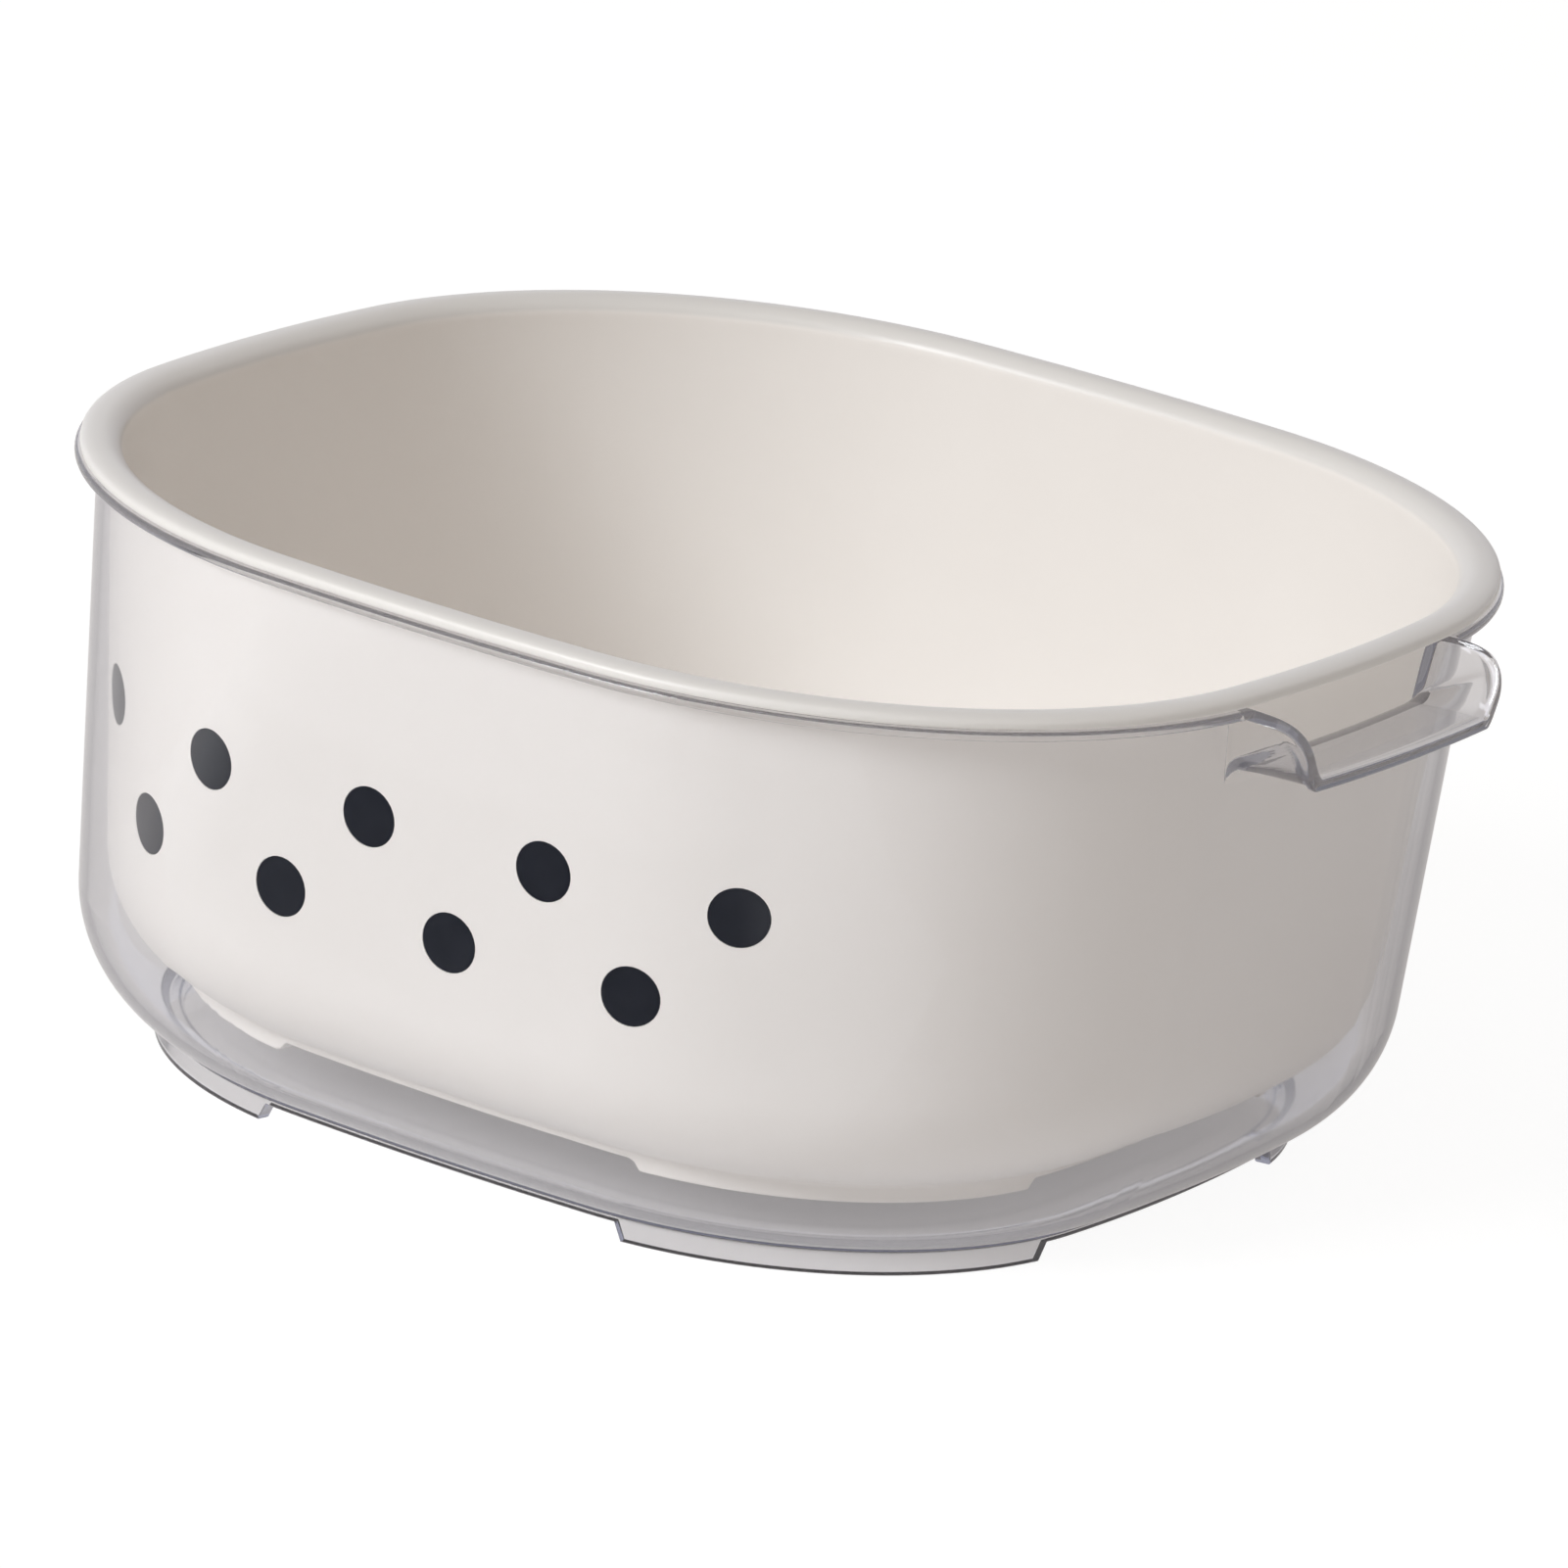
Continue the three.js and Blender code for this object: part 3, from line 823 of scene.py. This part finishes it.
# Clear to sight; lamp light and bounced light pass it as a thin film, and what is mirrored inside
# the sheet is darkened where it leaves the sheet
def clearFinish(look):
    finish, wire = newFinish("clearPlastic")
    flow = {"Strength": look["flow"], "Distance": look["flowDepth"]}
    flow["Height"] = grain(wire, *look["flowGrain"])
    inputs = {
        "Base Color": look["tint"],
        "Roughness": look["gloss"] + look["glossSpread"] * grain(wire, *look["haze"]),
        "Normal": wire.node("ShaderNodeBump", {}, flow),
        "IOR": look["ior"],
        "Transmission Weight": 1.0,
    }
    surface = wire.node("ShaderNodeBsdfPrincipled", {}, inputs)
    passing = wire.node("ShaderNodeBsdfTransparent", {}, {"Color": look["lampTint"]})
    leaving = wire.node("ShaderNodeBsdfTransparent", {}, {"Color": look["edgeTint"]})
    fromBehind = wire.node("ShaderNodeNewGeometry", output="Backfacing")
    passed = wire.node("ShaderNodeLightPath", output="Transparent Depth")
    inSheet = fromBehind * (passed < 0.5)  # no film passed yet
    edges = wire.node("ShaderNodeMixShader", {}, {0: inSheet, 1: passing, 2: leaving})
    films = {"Is Reflection Ray": edges, "Is Diffuse Ray": passing, "Is Shadow Ray": passing}
    for kind, film in films.items():
        ray = wire.node("ShaderNodeLightPath", output=kind)
        surface = wire.node("ShaderNodeMixShader", {}, {0: ray, 1: surface, 2: film})
    inputs = {"Color": look["body"], "Density": look["density"]}
    body = wire.node("ShaderNodeVolumeAbsorption", {}, inputs)
    wire.node("ShaderNodeOutputMaterial", {}, {"Surface": surface, "Volume": body})
    return finish


def dress(piece, finish, body, node):
    piece.data.materials.append(finish)
    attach(piece, body)
    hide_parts(node)


dress(bowlPiece, clearFinish(clearLook), "outer_bowl", "outer_bowl")
dress(basketPiece, creamFinish(creamLook), "inner_basket", "inner_basket")
ink = inkFinish(inkLook)
for index, inlay in enumerate(inlays):
    dress(inlay, ink, "inner_basket", f"dot_inlay_{index + 1}")
print("finishes: clear, cream and dark plastic")

# Floor, table, room and lamps, in metres
studio = {
    "floorHalf": 6.0,
    "floorSink": 0.0004,  # under the object's feet
    "floorColour": (0.98, 0.98, 0.98, 1),
    "floorWhite": 0.85,  # share of plain white that sight of the floor gets
    "floorLift": 0.45,  # paler shadow on it
    "tableHalf": 1.1,  # grey table top that only the clear plastic and gloss show
    "tableSink": 0.0002,
    "tableColour": (0.62, 0.60, 0.60, 1),
    "tableMatt": (0.76, 0.745, 0.735, 1),
    "tableGlow": 1.40,
    "tableFall": 1.0,  # how much the glow falls per metre to the right
    "tableShare": 0.45,  # of the glow; the rest is matt and takes the object's shadow
    "flagColour": 0.05,  # darker strip in front, which fades out into the table
    "flagSink": 0.0001,
    "flagFrom": (-0.225, -0.36),
    "flagTo": (0.22, -0.135),
    "flagFade": (0.07, 0.12, 0.05),  # at its left, at its right and towards the object
    "fill": 0.35,
    "fillColour": (1.0, 0.91, 0.82, 1),
    "gleam": (0.90, 0.91, 1.0, 1),  # the room as gloss shows it, darker overhead
    "overhead": 0.35,
    "overheadFrom": 0.1,  # share of the way up where it starts to darken, and where it stops
    "overheadFull": 0.9,
    "lampColour": (0.955, 0.98, 1.0),
    "lampAim": (0, 0, 0.05),
    "lamps": {
        "keyLamp": {"toward": (-0.26, -0.79, 0.555), "distance": 3.2, "size": 1.2, "power": 66.8},
        "topLamp": {"toward": (0.10, -0.35, 0.93), "distance": 3.2, "size": 1.6, "power": 8.0},
    },
}


# 1 for what sees the room: straight, in gloss and through the clear plastic
def seenRay(wire):
    straight = wire.node("ShaderNodeLightPath", output="Is Camera Ray")
    inGloss = wire.node("ShaderNodeLightPath", output="Is Glossy Ray")
    through = wire.node("ShaderNodeLightPath", output="Is Transmission Ray")
    return straight.most(inGloss).most(through)


# Flat rectangle of the studio between two corners, a little under the object
def makeCard(name, low, high, sink, finish):
    x = np.array([low[0], high[0], high[0], low[0]])
    y = np.array([low[1], low[1], high[1], high[1]])
    corners = np.stack([x, y, np.full(4, -sink)], -1)
    piece = newPiece(name, corners, np.array([[0, 1, 2, 3]]))
    piece.data.materials.append(finish)
    return piece


def floorFinish(s):
    finish, wire = newFinish("paleFloor")
    seen = seenRay(wire)
    matt = wire.node("ShaderNodeBsdfDiffuse", {}, {"Color": s["floorColour"]})
    glow = {"Color": white, "Strength": seen * s["floorLift"]}
    lift = wire.node("ShaderNodeEmission", {}, glow)
    lit = wire.node("ShaderNodeAddShader", {}, {0: matt, 1: lift})
    plain = wire.node("ShaderNodeEmission", {}, {"Color": white, "Strength": 1.0})
    mix = {0: seen * s["floorWhite"], 1: lit, 2: plain}
    surface = wire.node("ShaderNodeMixShader", {}, mix)
    wire.node("ShaderNodeOutputMaterial", {}, {"Surface": surface})
    return finish


def tableFinish(s):
    finish, wire = newFinish("greyTable")
    matt = wire.node("ShaderNodeBsdfDiffuse", {}, {"Color": s["tableMatt"]})
    strength = s["tableGlow"] - s["tableFall"] * objectAxis(wire, "X")
    glow = {"Color": s["tableColour"], "Strength": strength}
    glow = wire.node("ShaderNodeEmission", {}, glow)
    surface = wire.node("ShaderNodeMixShader", {}, {0: s["tableShare"], 1: matt, 2: glow})
    wire.node("ShaderNodeOutputMaterial", {}, {"Surface": surface})
    return finish


# Dark by the product of three ramps, and as bright as the table's glow elsewhere
def flagFinish(s):
    finish, wire = newFinish("darkFlag")
    along, across = objectAxis(wire, "X"), objectAxis(wire, "Y")
    (left, _), (right, near) = s["flagFrom"], s["flagTo"]
    atLeft, atRight, atNear = s["flagFade"]
    shade = 1.0
    for value, start, run in (
        (along, left, atLeft),
        (along, right, -atRight),
        (across, near, -atNear),
    ):
        fade = {"Value": value, "From Min": start, "From Max": start + run}
        shade = shade * wire.node("ShaderNodeMapRange", {}, fade)
    bright = s["tableGlow"] * s["tableColour"][0]
    strength = bright + (s["flagColour"] - bright) * shade
    glow = wire.node("ShaderNodeEmission", {}, {"Color": white, "Strength": strength})
    wire.node("ShaderNodeOutputMaterial", {}, {"Surface": glow})
    return finish


# The camera sees the white floor, and the clear plastic the grey table that the object stands on
def makeGround(s):
    floor, table = s["floorHalf"], s["tableHalf"]
    makeCard("floor", (-floor, -floor), (floor, floor), s["floorSink"], floorFinish(s))
    cards = [
        makeCard("table", (-table, -table), (table, table), s["tableSink"], tableFinish(s)),
        makeCard("flag", s["flagFrom"], s["flagTo"], s["flagSink"], flagFinish(s)),
    ]
    for card in cards:
        card.visible_camera = card.visible_diffuse = card.visible_shadow = False


# Warm fill for the surfaces, white for the camera, and a cool gleam that darkens upwards in gloss
def makeRoom(s):
    world = bpy.data.worlds.new("paleRoom")
    world.use_nodes = True
    world.node_tree.nodes.clear()
    wire = Wire(world.node_tree)
    fill = {"Color": s["fillColour"], "Strength": s["fill"]}
    fill = wire.node("ShaderNodeBackground", {}, fill)
    plain = wire.node("ShaderNodeBackground", {}, {"Color": white, "Strength": 1.0})
    place = wire.node("ShaderNodeTexCoord", output="Generated")
    above = {"Value": wire.node("ShaderNodeSeparateXYZ", {}, {0: place}, "Z")}
    above |= {"From Min": s["overheadFrom"], "From Max": s["overheadFull"]}
    above |= {"To Min": 1.0, "To Max": s["overhead"]}
    strength = wire.node("ShaderNodeMapRange", {}, above)
    gleam = wire.node("ShaderNodeBackground", {}, {"Color": s["gleam"], "Strength": strength})
    straight = wire.node("ShaderNodeLightPath", output="Is Camera Ray")
    seen = wire.node("ShaderNodeMixShader", {}, {0: straight, 1: gleam, 2: plain})
    room = wire.node("ShaderNodeMixShader", {}, {0: seenRay(wire), 1: fill, 2: seen})
    wire.node("ShaderNodeOutputWorld", {}, {"Surface": room})
    bpy.context.scene.world = world


# Lamp or camera at a point, with its right, up and backward axes as a turned matrix
def setUp(name, data, axes, point):
    turned = np.eye(4)
    turned[:3, :3] = np.stack(axes, -1)
    turned[:3, 3] = point
    holder = bpy.data.objects.new(name, data)
    holder.matrix_world = Matrix(turned.tolist())
    bpy.context.collection.objects.link(holder)
    return holder


# Lamp at a distance from its aim, facing it
def makeLamp(name, colour, aim, toward, distance, size, power):
    lamp = bpy.data.lights.new(name, "AREA")
    lamp.size = size
    lamp.energy = power
    lamp.color = colour
    back = np.array(toward) / np.linalg.norm(toward)
    right = np.cross([0, 0, 1], back)
    right = right / np.linalg.norm(right)
    setUp(name, lamp, [right, np.cross(back, right), back], back * distance + aim)


view = {
    "azimuth": 31.594,  # degrees from the dotted side towards the handle
    "elevation": 17.492,
    "roll": 6.912,
    "distance": 2.19337,
    "right": 0.010736,  # off the middle of the rim's outline, in metres
    "up": 0.051996,
    "lens": 277.92,  # and its sensor, in mm
    "sensor": 36,
    "clip": (0.05, 50),
}


# Backward axis from azimuth and elevation, the other two turned about it by the roll
def makeCamera(v):
    azimuth, elevation, roll = np.radians([v["azimuth"], v["elevation"], v["roll"]])
    level = np.array([np.cos(azimuth), np.sin(azimuth), 0])
    outward = np.array([np.sin(azimuth), -np.cos(azimuth), 0])
    back = outward * np.cos(elevation) + [0, 0, np.sin(elevation)]
    above = np.cross(back, level)
    right = level * np.cos(roll) + above * np.sin(roll)
    up = above * np.cos(roll) - level * np.sin(roll)
    point = back * v["distance"] + right * v["right"] + up * v["up"]
    camera = bpy.data.cameras.new("photoView")
    camera.sensor_width = v["sensor"]
    camera.lens = v["lens"]
    camera.clip_start, camera.clip_end = v["clip"]
    point = point + [mm * rimOutline["middleX"], 0, 0]
    bpy.context.scene.camera = setUp("photoView", camera, [right, up, back], point)


makeGround(studio)
makeRoom(studio)
for name, lamp in studio["lamps"].items():
    makeLamp(name, studio["lampColour"], studio["lampAim"], **lamp)
makeCamera(view)
bpy.context.scene.view_settings.view_transform = "Standard"
print("studio: floor, table, room, lamps and camera")
